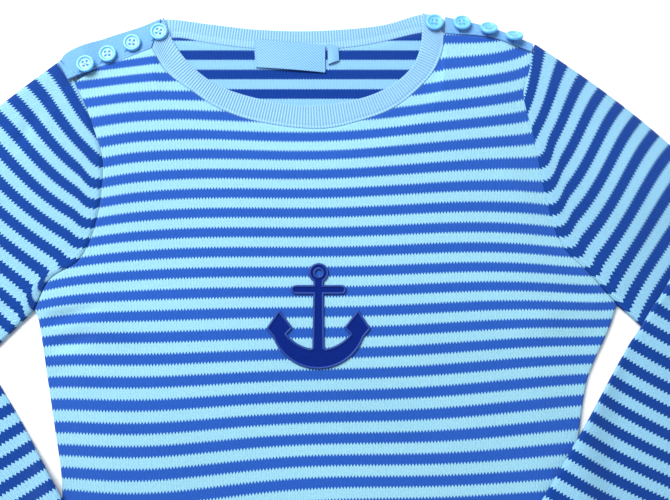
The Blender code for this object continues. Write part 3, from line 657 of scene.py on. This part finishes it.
def make_sleeve(side, data):
    """Ring by ring from the armhole to the cuff, the plan straight first and then folded."""
    hand = -1 if side == "right" else 1
    arm = sleeve_keys(data, hand)
    s = np.concatenate([k + np.linspace(0, 1, n + 1)[int(k > 0):]
                        for k, n in enumerate(ARM_RINGS)])
    share, reach, lift = flat_ring(*ARM_COUNTS)
    w_grid, s_grid = np.meshgrid(share, s)
    ends = [straight_plan(arm, np.full_like(s, k), s) for k in (0.0, 1.0)]
    width = ((ends[1] - ends[0]) @ arm["across"])[:, None]
    inset = HALF_SLEEVE / width
    turned = np.where(np.abs(lift) < 0.999, reach, 0)
    w = inset + (1 - 2 * inset) * w_grid + np.where(w_grid > 0.5, 1, -1) * turned * inset
    plan = straight_plan(arm, w, s_grid)
    top, under = lift > 0.999, lift < -0.999
    # Distance from the armhole, which draws the cloth down to its seam
    seam = np.linalg.norm(plan - straight_plan(arm, w, np.zeros_like(s_grid)), axis=-1)
    exposed = clear_of_forearm(arm, plan) * (s_grid <= 1)
    puff_top = armhole_rise(w_grid) * (1 + 0.5 * smooth(s_grid * 3)) * exposed \
        + creased(plan, data["creases"]) * exposed * smooth(w_grid * 8) \
        - SEAM_DIP * hump(seam / SEAM_REACH) * smooth(w_grid * 12) * smooth((1 - w_grid) * 12)
    bump = np.sqrt(np.clip(np.sin(np.pi * np.clip(w, 0, 1)), 0, 1))
    puff_under = 2.2 * bump * smooth(s_grid - 2.05) * (s_grid > 2)
    height = HALF_SLEEVE * (1 + lift) + np.where(top, puff_top, 0) \
        - np.where(under, puff_under, 0)
    points = folded(arm, plan, height)
    points[..., 2] += np.where(under & (s_grid > 2), creased(points[..., :2], data["folds"]), 0)
    # Wales by length round the ring, square to the arm; rows by the two course tables
    flat = np.concatenate([plan, height[..., None]], -1)
    closed = np.concatenate([flat, flat[:, :1]], 1)
    girth = np.diff(np.stack([closed[..., :2] @ arm["across"], closed[..., 2]], -1), axis=1)
    wales = np.cumsum(np.linalg.norm(girth, axis=-1), 1) / WALE
    wales = np.concatenate([np.zeros((len(s), 1)), wales], 1)
    offset = (plan - arm["fold"]) / 100
    where = offset @ arm["upper"], offset @ arm["across"]
    past = smooth(1 + (offset @ arm["past"]) / BLEND)
    stripe = (1 - past) * course_at(data["upper_course"], *where) \
        + past * course_at(data["lower_course"], *where)
    # Below the shoulder the stripes meet those of the front and run into them
    level = data["meets"] - body_rows(plan) / PAIR_ROWS
    near = (1 - smooth(seam / MEET_REACH)) * smooth((w_grid - 0.3) * 8) * (s_grid <= 1)
    rows = -PAIR_ROWS * (stripe + (level - stripe) * near)
    knit = np.stack([wales, np.concatenate([rows, rows[:, :1]], 1)], -1)
    sleeve = surface(side + "_sleeve", points, knit, flip=hand > 0, ring=True)
    paint(sleeve, shaded_sleeve_face, shaded_striped_inside, welt_rib, welt_rib)
    cuff = np.broadcast_to((s > 3 - CUFF_DEPTH / FOREARM)[:-1, None], (len(s) - 1, len(share)))
    sleeve.data.polygons.foreach_set("material_index",
                                     np.where(cuff, 2, 0).astype(np.int32).ravel())
    thicken(sleeve, CLOTH)
    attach(sleeve, "root")
    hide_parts("sleeve_" + side)
    girth = float(width.max()) * 2 * MM


for side, data in SLEEVES.items():
    make_sleeve(side, data)

# The neckbands
# Two bands of doubled one-and-one rib, linked to the neck edges with a pale chain stitch. The
# front one laps over the back one at both shoulders.
BAND_THICKNESS = 1.6
BAND_BASE = 2.25             # underside of the bands that lie over the back
RIB_PITCH = 2.0
RIB_HEIGHT = 0.32
RIB_STEPS = 8                # columns to one rib and one groove
CHAIN_STITCH = 1.7           # length of one linking stitch
BAND_RING = (20, 5, 4)
BAND_YARN = (0.285, 0.54, 0.84, 1)
NECK_OPENING = [(-124.6, 171.2), (-116, 151), (-100, 131), (-77, 116), (-41, 106), (-12, 104),
                (24, 111), (49, 126), (61, 146), (64, 175.2)]
BACK_BAND_TOP = [(-141, 164), (-124, 171), (-90, 167), (-56, 163), (-15, 162), (32, 166),
                 (64, 175), (80, 171)]


def band_piece(name, node, low, high, count, base, relief, ring, finish,
               drop=None):
    """Doubled band: a flattened tube swept between two lines, closed at both ends.

    relief gives the top face's rise at a share across and a length along, in millimetres.
    drop rounds the band over an edge: down by that much through a quarter turn.
    """
    f = np.linspace(0, 1, count)
    share, reach, lift = flat_ring(*ring)
    start, end = low(f)[:, None], high(square_to(low, high, f))[:, None]
    width = np.linalg.norm(end - start, axis=-1)
    radius = BAND_THICKNESS / 2
    inset = radius / width
    turned = np.where(np.abs(lift) < 0.999, reach, 0)
    w = inset + (1 - 2 * inset) * share + np.where(share > 0.5, 1, -1) * turned * inset
    middle = start + (end - start) * 0.5
    length = np.append(0, np.cumsum(np.linalg.norm(np.diff(middle[:, 0], axis=0), axis=1)))
    along = np.broadcast_to(length[:, None], w.shape)
    plan = start + (end - start) * w[..., None]
    level = base(plan)
    if drop is not None:
        level = level - drop * (1 - np.cos(np.radians(80) * np.clip(w, 0, 1)))
    height = level + radius * (1 + lift) + np.where(lift > 0.9, relief(plan, w * width, along), 0)
    points = np.concatenate([plan, height[..., None]], -1)
    knit = np.stack([along / RIB_PITCH, w * width / 1.2], -1)
    knit = np.concatenate([knit, knit[:, :1]], 1)
    band = surface(name, points, knit, flip=True, ring=True)
    close_ends(band.data)
    paint(band, finish)
    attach(band, "root")
    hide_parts(node)
    return band


def square_to(low, high, f):
    """Where the other edge is nearest to this one at f, kept in step at both ends."""
    fine = np.linspace(0, 1, 600)
    apart = np.linalg.norm(low(f)[:, None] - high(fine)[None], axis=-1)
    nearest = np.maximum.accumulate(fine[apart.argmin(1)])
    nearest = np.convolve(np.pad(nearest, 20, mode="edge"), np.full(41, 1 / 41), "valid")
    share = smooth(np.minimum(f, 1 - f) / 0.10)
    return f * (1 - share) + nearest * share


def close_ends(mesh):
    """Fill the two open ends of a swept tube."""
    work = bmesh.new()
    work.from_mesh(mesh)
    rims = [e for e in work.edges if e.is_boundary]
    bmesh.ops.holes_fill(work, edges=rims, sides=0)
    bmesh.ops.triangulate(work, faces=[f for f in work.faces if len(f.verts) > 4])
    work.to_mesh(mesh)
    work.free()


def even(height):
    """A level that is the same along the whole band."""
    return lambda plan: np.full(plan.shape[:-1], height)


def neck_relief(plan, across, along):
    """Ribs as a rounded wave, faded at both edges, and the beaded chain of linking stitches."""
    rib = RIB_HEIGHT * np.abs(np.cos(np.pi * along / RIB_PITCH)) ** 1.5
    rib = rib * smooth((across - 2.2) / 1.5)
    bead = 0.55 * hump((across - 1.0) / 0.6) \
        * (0.55 + 0.45 * np.abs(np.sin(np.pi * along / CHAIN_STITCH)))
    return rib + bead - 0.5 * hump((across - 2.2) / 0.45)


def back_neck_relief(plan, across, along):
    """Ribs over the upper part, and the smooth turned-in facing along the seam."""
    rib = RIB_HEIGHT * np.abs(np.cos(np.pi * along / RIB_PITCH)) ** 1.5
    return rib * smooth((across - 5.5) / 2) - 0.25 * hump((across - 5.0) / 0.5)


def moved_edge(points):
    """Edge of a piece that stands a seam's width off its neighbour."""
    return edge(beside(rounded_line(points), SEAM))


rib_knit = knit_finish("band_rib", rib_stitch, BAND_YARN, BAND_YARN, 0.4, plain=True)
band_piece("back_neckband", "neckband_back", moved_edge(BACK_NECK), edge(BACK_BAND_TOP),
           int(210 / RIB_PITCH * RIB_STEPS), even(0.0), back_neck_relief, BAND_RING, rib_knit)
band_piece("front_neckband", "neckband_front", moved_edge(FRONT_NECK), edge(NECK_OPENING),
           int(300 / RIB_PITCH * RIB_STEPS), even(BAND_BASE), neck_relief, BAND_RING, rib_knit)

# The shoulder bands
# Doubled bands along the open shoulders: a placket with worked buttonholes on the front, over
# a plain button stand on the back. The right pair rolls over the shoulder edge.
SLEEVE_CLIMB = 2.9           # rise of the left placket's end over the sleeve head
HOLE_LENGTH = 15.0           # worked buttonhole, bar to bar
HOLE_BAR = 0.9               # half width of the stitched border
HOLE_STITCH = 1.0
PLACKET_RING = (64, 8, 5)
STAND_RING = (14, 6, 4)
PLACKET_COUNT = 260
STAND_COUNT = 70
# Buttons, from the neck outwards: plan place, tip towards the back in degrees, lift off the band
LEFT_BUTTONS = [(-127, 159, 0, 0.35), (-146, 150.5, 0, 0.35), (-163, 141.8, 0, 0.35),
                (-177.5, 133, 0, 0.35)]
RIGHT_BUTTONS = [(72, 166, 6, 0.75), (92, 165.5, 16, 0.65), (111, 161, 30, 1.1),
                 (129, 154.5, 40, 2.0)]
HOLE_WAY = {"left": (-0.62, -0.78), "right": (-0.25, -0.97)}


def over_sleeve(plan):
    """Level of the left placket, which climbs over the sleeve head at its free end."""
    return BAND_BASE + SLEEVE_CLIMB * smooth((-166 - plan[..., 0]) / 16)


def holes_relief(side, table):
    """Buttonholes: a slit between two beads of overcast stitches, the cloth pulled to it."""
    way = np.array(HOLE_WAY[side]) / np.hypot(*HOLE_WAY[side])

    def relief(plan, across, along):
        rise = -0.25 * hump((across - 2.0) / 0.5) \
            + 0.25 * hump((across - 1.1) / 0.5) * np.abs(np.sin(np.pi * along / CHAIN_STITCH))
        for x, y, _, _ in table:
            offset = plan - np.array([x, y], float) - way * 1.5
            lengthwise, sideways = offset @ way, np.abs(offset @ [-way[1], way[0]])
            inside = smooth((HOLE_LENGTH / 2 - np.abs(lengthwise)) / 0.8)
            stitch = 0.5 + 0.5 * np.cos(2 * np.pi * lengthwise / HOLE_STITCH)
            rise = rise + inside * (0.35 * hump((sideways - HOLE_BAR) / 0.5) * stitch
                                    - 0.9 * hump(sideways / 0.3))
            pucker = np.cos(2 * np.pi * (offset @ [0.8, 0.6]) / 4.2)
            rise = rise + 0.14 * pucker * hump(np.linalg.norm(offset, axis=-1) / 9)
        return rise * smooth(across / 0.8)

    return relief


def plain_relief(plan, across, along):
    """No relief."""
    return np.zeros_like(across)


PLACKET_YARN = (0.20, 0.47, 0.90, 1)
band_cloth = knit_finish("band_cloth", stockinette, PLACKET_YARN, PLACKET_YARN, 0.22,
                         plain=True)
left_low = moved_edge([(-190, 122), (-169, 132), (-148, 140), (-132.8, 146.8)])
band_piece("left_button_stand", "button_stand_left",
           moved_edge([(-184, 122.2), (-169, 132), (-148, 140), (-133.5, 146.4)]),
           edge([(-189.5, 140.5), (-166, 153), (-142.5, 162)]), STAND_COUNT, even(0.0),
           plain_relief, STAND_RING, band_cloth)
band_piece("left_placket", "placket_left", left_low,
           edge([(-197, 136), (-190, 144), (-166, 155), (-142, 163.5), (-126.4, 170.4)]),
           PLACKET_COUNT,
           over_sleeve, holes_relief("left", LEFT_BUTTONS), PLACKET_RING, band_cloth)
right_low = edge([(79.8, 158.5), (105, 156.7), (119, 153.7), (141.6, 144.2)])
band_piece("right_button_stand", "button_stand_right", right_low,
           edge([(82, 165), (100, 162.5), (117, 157.8), (141, 147.5)]), STAND_COUNT, even(0.0),
           plain_relief, STAND_RING, band_cloth)
band_piece("right_placket", "placket_right", right_low,
           edge([(80.4, 172.6), (100, 168), (117, 163), (143.5, 151.4)]), PLACKET_COUNT,
           even(BAND_BASE + 0.1), holes_relief("right", RIGHT_BUTTONS), PLACKET_RING,
           band_cloth, drop=2.0)

# The buttons
# Four turned four-hole buttons a shoulder in pale blue polyester with a broad raised rim, sewn
# on through the dished middle with crossed cotton thread.
BUTTON_RADIUS = 6.35
BUTTON_THICKNESS = 2.4
BUTTON_SPOKES = 72
HOLE_RING = 1.95             # from the middle to each thread hole
HOLE_RADIUS = 0.78
BUTTON_TURN = {"left": 24.0, "right": 28.0}
# Radius and height of the turned section, from the middle of the back round to the front
BUTTON_SECTION = [(0.0, 0.0), (5.6, 0.0), (6.1, 0.25), (6.35, 0.8), (6.35, 1.5), (6.2, 1.95),
                  (5.8, 2.3), (5.3, 2.4), (4.8, 2.3), (4.4, 2.0), (4.1, 1.72), (3.7, 1.62),
                  (2.6, 1.5), (0.0, 1.45)]


def button_points(place, turn, tip):
    """Turned section with four pits sunk in its face, tipped back and set in place."""
    radius, height = np.array(BUTTON_SECTION).T
    length = np.append(0, np.cumsum(np.hypot(np.diff(radius), np.diff(height))))
    even_steps = np.linspace(0, length[-1], 70)
    r = np.interp(even_steps, length, radius)[:, None]
    z = np.interp(even_steps, length, height)[:, None]
    spoke = np.linspace(0, 2 * np.pi, BUTTON_SPOKES, endpoint=False)[None]
    x, y = r * np.cos(spoke), r * np.sin(spoke)
    z = np.broadcast_to(z, x.shape).copy()
    front = np.broadcast_to((even_steps > length[7])[:, None], x.shape)
    for k in range(4):
        corner = math.radians(turn + 90 * k)
        away = np.hypot(x - HOLE_RING * math.cos(corner), y - HOLE_RING * math.sin(corner))
        z -= np.where(front, 1.1 * (1 - smooth((away / HOLE_RADIUS - 0.7) / 0.5)), 0)
    return tipped(np.stack([x, y, z], -1), place, tip)


def tipped(points, place, tip):
    """Points turned about X, back edge down, and moved to their place."""
    c, s = math.cos(math.radians(-tip)), math.sin(math.radians(-tip))
    turn = np.array([[1, 0, 0], [0, c, -s], [0, s, c]])
    return points @ turn.T + place


def tube(path, radius, sides=8):
    """Round thread along a path: rings square to it in the path's own upright frame."""
    path = np.asarray(path, float)
    ahead = np.gradient(path, axis=0)
    ahead /= np.linalg.norm(ahead, axis=1)[:, None]
    beside_it = np.cross(ahead, [0.0, 0.0, 1.0])
    beside_it /= np.linalg.norm(beside_it, axis=1)[:, None]
    above = np.cross(beside_it, ahead)
    angle = np.linspace(0, 2 * np.pi, sides, endpoint=False)
    return (path[:, None] + radius * (np.cos(angle)[None, :, None] * beside_it[:, None]
                                      + np.sin(angle)[None, :, None] * above[:, None]))


def merge_poles(mesh):
    """Join the points that meet at a pole."""
    work = bmesh.new()
    work.from_mesh(mesh)
    bmesh.ops.remove_doubles(work, verts=work.verts, dist=1e-7)
    work.to_mesh(mesh)
    work.free()


button_gloss, tree, shader = new_finish("button_gloss", Roughness=0.32, Specular_IOR_Level=0.5,
                                        Coat_Weight=0.25, Coat_Roughness=0.15)
place = put(tree, "ShaderNodeTexCoord").outputs["Object"]
cloud = put(tree, "ShaderNodeTexNoise", {"Vector": place, "Scale": 260.0, "Detail": 3.0})
tone = mixed(tree, cloud.outputs[0], (0.11, 0.44, 0.87, 1), (0.18, 0.54, 0.95, 1))
tree.links.new(tone, shader.inputs["Base Color"])
thread_cotton, tree, shader = new_finish("thread_cotton", Roughness=0.8, Sheen_Weight=0.2)
place = put(tree, "ShaderNodeTexCoord").outputs["Object"]
twist = put(tree, "ShaderNodeTexWave", {"Vector": place, "Scale": 900.0, "Distortion": 1.0})
tone = mixed(tree, twist.outputs[1], (0.20, 0.52, 0.82, 1), (0.42, 0.74, 0.95, 1))
tree.links.new(tone, shader.inputs["Base Color"])

for side, table in (("left", LEFT_BUTTONS), ("right", RIGHT_BUTTONS)):
    for number, (x, y, tip, lift) in enumerate(table, 1):
        reach = BUTTON_RADIUS if side == "left" else 0
        base = BAND_THICKNESS + 0.3 + float(over_sleeve(np.array([x - reach, y])))
        place = np.array([x, y, base + lift])
        turn = BUTTON_TURN[side] + 9 * number
        button = surface("%s_button_%d" % (side, number), button_points(place, turn, tip),
                         ring=True, flip=True)
        merge_poles(button.data)
        paint(button, button_gloss)
        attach(button, "root")
        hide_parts("button_%s_%d" % (side, number))
        for bar in (0, 1):
            corner = math.radians(turn + 90 * bar)
            step = np.linspace(-1, 1, 15)
            arch = np.stack([HOLE_RING * step * math.cos(corner),
                             HOLE_RING * step * math.sin(corner),
                             1.55 + 0.35 * bar - 1.1 * np.abs(step) ** 6], -1)
            arch = tipped(arch, place, tip)
            thread = surface("%s_button_%d_thread_%d" % (side, number, bar + 1),
                             tube(arch, 0.3), ring=True)
            close_ends(thread.data)
            paint(thread, thread_cotton)
            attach(thread, "root")

# The neck label and the size tab
# A woven damask label, bare, stitched down at its two ends inside the back neckband, and a
# small folded tab tucked under its right end.
LABEL_THICKNESS = 0.5
LABEL_LEVEL = 2.35
LABEL_YARN = (0.26, 0.55, 0.88, 1)
NECK_LABEL = [(-57, 133), (-7, 129), (-7, 150), (-59, 155)]
SIZE_TAB = [(-5, 135), (3, 138), (2.4, 149), (-5.5, 151)]


def label_points(corners, level, rows=50, columns=110):
    """Quadrilateral with its lower edge lifted in the middle and a slight wave."""
    t, f = np.meshgrid(np.linspace(0, 1, rows), np.linspace(0, 1, columns), indexing="ij")
    low = (1 - f)[..., None] * corners[0] + f[..., None] * corners[1]
    high = (1 - f)[..., None] * corners[3] + f[..., None] * corners[2]
    plan = low * (1 - t)[..., None] + high * t[..., None]
    lift = level + 0.9 * (1 - t) * np.sin(np.pi * f) ** 2 + 0.12 * np.sin(3 * np.pi * f) * (1 - t)
    return np.concatenate([plan, lift[..., None]], -1), f, t


woven, tree, shader = new_finish("woven_label", Roughness=0.55, Sheen_Weight=0.25,
                                 Specular_IOR_Level=0.4)
count = put(tree, "ShaderNodeUVMap", uv_map="knit").outputs[0]
split = put(tree, "ShaderNodeSeparateXYZ", {0: count})
diagonal = maths(tree, "ADD", split.outputs[0], split.outputs[1])
twill = maths(tree, "SINE", maths(tree, "MULTIPLY", diagonal, 2 * math.pi))
picks = maths(tree, "SINE", maths(tree, "MULTIPLY", split.outputs[1], 4 * math.pi))
weave = maths(tree, "MULTIPLY_ADD", twill, 0.35, maths(tree, "MULTIPLY", picks, 0.15))
tone = mixed(tree, maths(tree, "ADD", weave, 0.5), (0.035, 0.18, 0.44, 1), LABEL_YARN)
bump = put(tree, "ShaderNodeBump", {"Height": weave, "Distance": 0.12 * MM, "Strength": 0.6})
tree.links.new(tone, shader.inputs["Base Color"])
tree.links.new(bump.outputs[0], shader.inputs["Normal"])

for name, node, corners, flat in (
        ("woven_neck_label", "neck_label", NECK_LABEL, (0.052, 0.024)),
        ("woven_size_tab", "size_tab", SIZE_TAB, (0.010, 0.030))):
    points, f, t = label_points(np.array(corners, float), LABEL_LEVEL + LABEL_THICKNESS)
    if node == "neck_label":
        # Rows of end stitches pressed into the cloth
        row = hump((f - 0.035) / 0.012) + hump((f - 0.965) / 0.012)
        points[..., 2] -= 0.25 * row * (0.5 + 0.5 * np.sin(2 * np.pi * t * 11))
    count = np.stack([f * flat[0] / 0.0024, t * flat[1] / 0.0024], -1)
    label = surface(name, points, count)
    paint(label, woven)
    thicken(label, LABEL_THICKNESS, 0)
    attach(label, "root")
    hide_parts(node)

# The anchor
# A plain anchor cut from navy felt and sewn to the chest by a satin-stitched border.
ANCHOR_FOOT = (-11.0, -80.0)
FELT = 0.7                   # thickness
FELT_LEVEL = 2 * HALF_SLEEVE + PUFF + 0.05
BORDER_WIDTH = 1.7
BORDER_HEIGHT = 1.0
BORDER_STITCH = 0.8


def arc(centre, radius, start, end, steps):
    """Points of an arc between two angles in degrees."""
    angle = np.radians(np.linspace(start, end, steps))
    return [(centre[0] + radius * math.cos(a), centre[1] + radius * math.sin(a)) for a in angle]


def anchor_outline():
    """Half outline and its mirror: ring, rounded stock, shank, curved arms and flukes."""
    half = arc((0, 63), 6.0, 90, -62, 12) + [(2.6, 54), (15, 54)]
    half += arc((15.5, 51.6), 2.4, 60, -60, 6) + [(15, 49.2), (2.8, 49.2), (3.3, 12.5)]
    half += arc((0, 39), 28.0, -80, -38, 8) + [(18.0, 26.0), (26.5, 37.0), (34.0, 25.5)]
    half += arc((0, 31), 31.5, -20, -80, 9) + [(0.0, -0.5)]
    half += [(-x, y) for x, y in half[-2:0:-1]]
    return np.array(half) + ANCHOR_FOOT


def chest_height(place):
    """Height of the front's middle at a place in plan."""
    return FELT_LEVEL + creased(place, FRONT_CREASES)


def even_loop(points, step):
    """The closed outline again at even steps."""
    loop = np.vstack([points, points[:1]])
    reach = np.append(0, np.cumsum(np.linalg.norm(np.diff(loop, axis=0), axis=1)))
    at = np.linspace(0, reach[-1], int(reach[-1] / step), endpoint=False)
    return np.stack([np.interp(at, reach, loop[:, k]) for k in (0, 1)], -1)


anchor_ring = np.array(arc((ANCHOR_FOOT[0], ANCHOR_FOOT[1] + 63), 3.1, 0, 345, 24))
felt_navy, tree, shader = new_finish("felt_navy", Roughness=0.95, Sheen_Weight=0.05,
                                     Specular_IOR_Level=0.05)
place = put(tree, "ShaderNodeTexCoord").outputs["Object"]
fuzz = put(tree, "ShaderNodeTexNoise", {"Vector": place, "Scale": 1400.0, "Detail": 4.0})
tone = mixed(tree, fuzz.outputs[0], (0.0005, 0.004, 0.065, 1), (0.004, 0.026, 0.26, 1))
bump = put(tree, "ShaderNodeBump", {"Height": fuzz.outputs[0], "Distance": 0.4 * MM})
tree.links.new(tone, shader.inputs["Base Color"])
tree.links.new(bump.outputs[0], shader.inputs["Normal"])

curve = bpy.data.curves.new("anchor_cut", "CURVE")
curve.dimensions = "2D"
curve.fill_mode = "BOTH"
for outline in (even_loop(anchor_outline(), 1.2), anchor_ring):
    spline = curve.splines.new("POLY")
    spline.points.add(len(outline) - 1)
    flat = np.column_stack([outline, np.zeros(len(outline)), np.ones(len(outline))])
    spline.points.foreach_set("co", flat.ravel())
    spline.use_cyclic_u = True
cut = bpy.data.objects.new("anchor_cut", curve)
bpy.context.scene.collection.objects.link(cut)
bpy.context.view_layer.update()
mesh = bpy.data.meshes.new_from_object(cut.evaluated_get(bpy.context.evaluated_depsgraph_get()))
bpy.data.objects.remove(cut)
work = bmesh.new()
work.from_mesh(mesh)
bmesh.ops.remove_doubles(work, verts=work.verts, dist=1e-5)
bmesh.ops.recalc_face_normals(work, faces=work.faces)
if sum(face.normal.z for face in work.faces) < 0:
    bmesh.ops.reverse_faces(work, faces=work.faces)
work.to_mesh(mesh)
work.free()
flat = np.empty(len(mesh.vertices) * 3)
mesh.vertices.foreach_get("co", flat)
flat = flat.reshape(-1, 3)
flat[:, 2] = chest_height(flat[:, :2]) + FELT
mesh.vertices.foreach_set("co", placed(flat).ravel())
mesh.name = "felt_anchor"
anchor = bpy.data.objects.new("felt_anchor", mesh)
bpy.context.scene.collection.objects.link(anchor)
paint(anchor, felt_navy)
thicken(anchor, FELT, 0)
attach(anchor, "root")
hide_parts("applique_anchor")


def border_points(outline):
    """Satin-stitched bead on an outline: half an ellipse across, a thread's wave along."""
    loop = even_loop(outline, 0.4)
    ahead = np.roll(loop, -1, 0) - np.roll(loop, 1, 0)
    ahead /= np.linalg.norm(ahead, axis=1)[:, None]
    side = np.column_stack([ahead[:, 1], -ahead[:, 0]])
    angle = np.linspace(0, np.pi, 9)
    wave = 1 + 0.12 * np.cos(2 * np.pi * np.arange(len(loop)) * 0.4 / BORDER_STITCH)
    plan = loop[:, None] + side[:, None] * (BORDER_WIDTH / 2 * np.cos(angle))[None, :, None]
    lift = (BORDER_HEIGHT * np.sin(angle))[None] * wave[:, None]
    height = chest_height(plan) + FELT - 0.15 + lift
    return np.concatenate([plan, height[..., None]], -1).transpose(1, 0, 2)


satin_navy_and_groove_shade, tree, shader = new_finish("satin_navy_and_groove_shade", Roughness=0.5, Specular_IOR_Level=0.35)
count = put(tree, "ShaderNodeUVMap", uv_map="knit").outputs[0]
split = put(tree, "ShaderNodeSeparateXYZ", {0: count})
# Painted shade: the grooves between the satin stitches are darkened in the colour
thread = maths(tree, "ABSOLUTE", maths(tree, "SINE", maths(tree, "MULTIPLY", split.outputs[0],
                                                           math.pi)))
tone = mixed(tree, thread, (0.0005, 0.006, 0.09, 1), (0.010, 0.060, 0.36, 1))
tree.links.new(tone, shader.inputs["Base Color"])

for number, outline in enumerate((anchor_outline(), anchor_ring), 1):
    bead = border_points(outline)
    stitch, side = np.meshgrid(np.arange(bead.shape[1] + 1) * 0.4 / BORDER_STITCH,
                               np.arange(bead.shape[0]))
    border = surface("anchor_border_%d" % number, bead, np.stack([stitch, side], -1), ring=True)
    paint(border, satin_navy_and_groove_shade)
    thicken(border, 0.15, 0)
    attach(border, "root")
